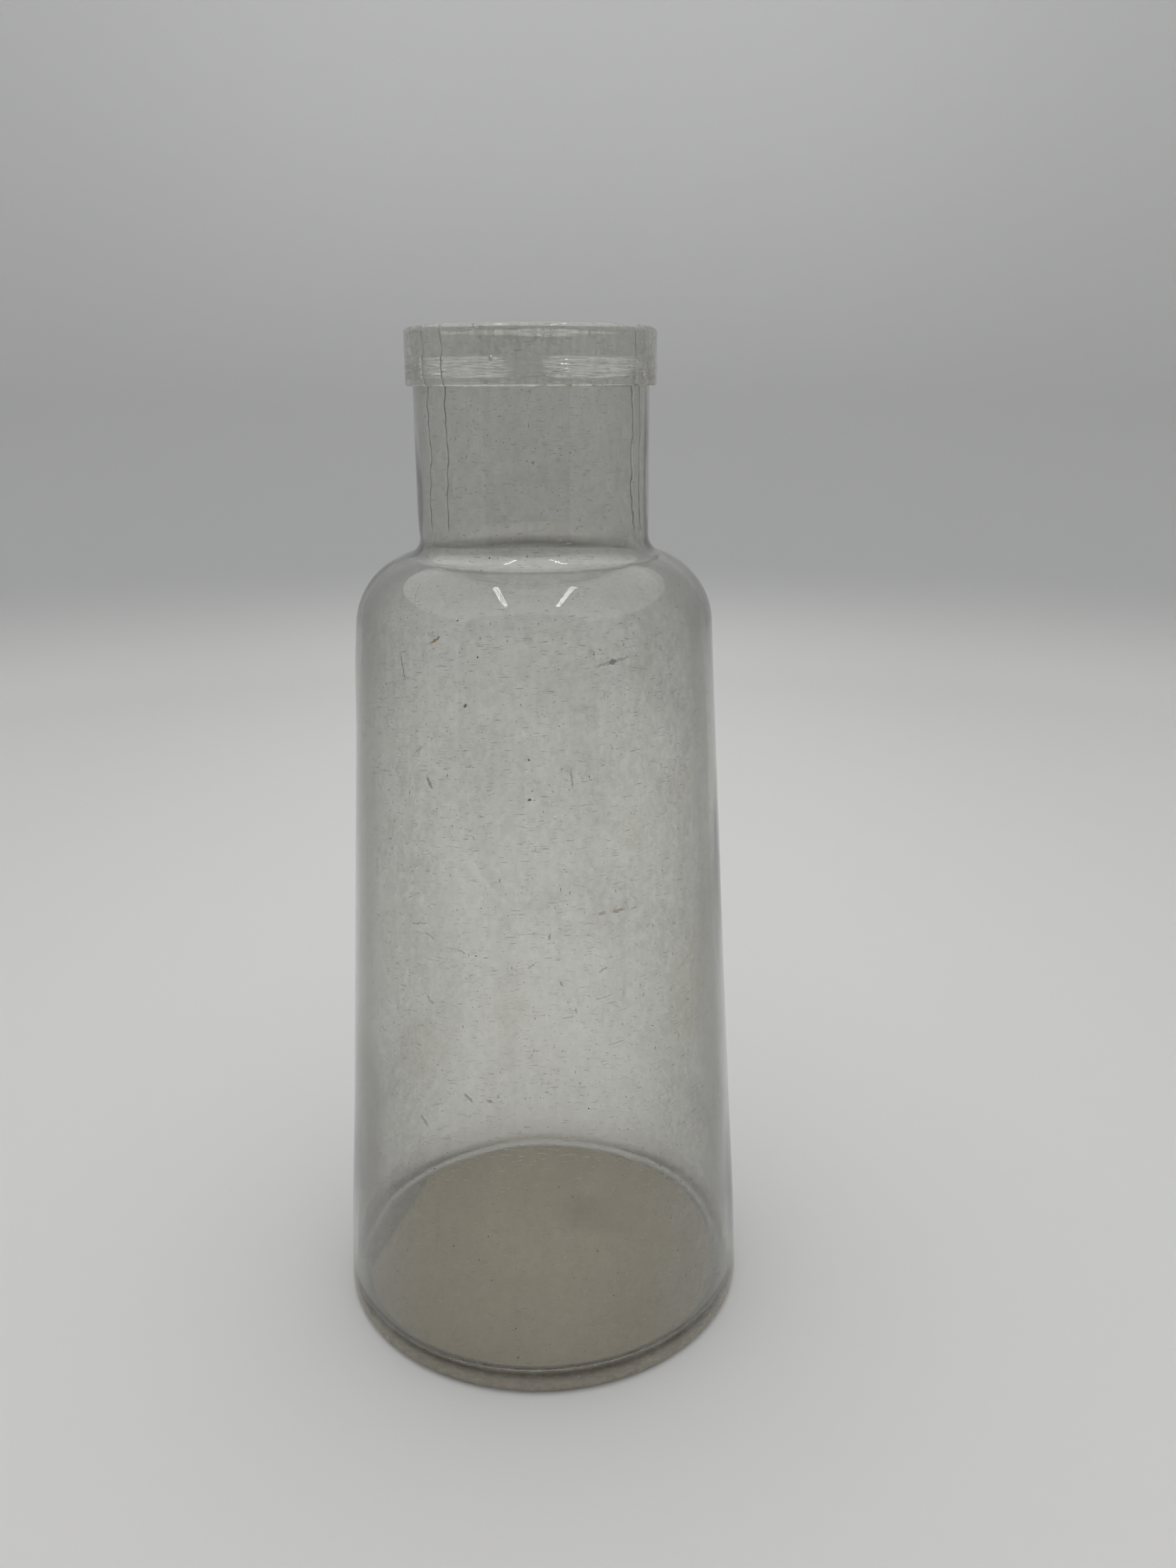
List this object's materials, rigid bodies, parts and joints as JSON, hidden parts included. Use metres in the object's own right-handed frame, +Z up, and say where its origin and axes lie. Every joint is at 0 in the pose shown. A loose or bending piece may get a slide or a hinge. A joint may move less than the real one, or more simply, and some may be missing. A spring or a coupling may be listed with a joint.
{
  "type": "wide-mouth glass flask",
  "caption": "Clear blown-glass laboratory flask with a slightly conical body on a thick base, a rounded shoulder, a wide straight neck and a banded lip.",
  "frame": {"origin": "centre of the standing face, on the flask's axis", "axes": "+Z up along the flask's axis, from the base to the mouth; X and Y are equivalent, since the part is a body of revolution"},
  "size_m": [0.0954, 0.0954, 0.2214],
  "materials": {
    "base_glass": "thick clear glass with a faint green-grey tint and fine scratches",
    "wall_glass": "clear old glass with a thin mottled haze, fine scratches and specks",
    "neck_glass": "clear glass with faint vertical drawing lines",
    "lip_glass": "fire-polished clear glass with a little brown residue in the crevice under the band"
  },
  "bodies": {
    "root": {"base": "base_glass", "body": "wall_glass", "shoulder": "wall_glass", "neck": "neck_glass", "lip_band": "lip_glass"}
  },
  "joints": []
}
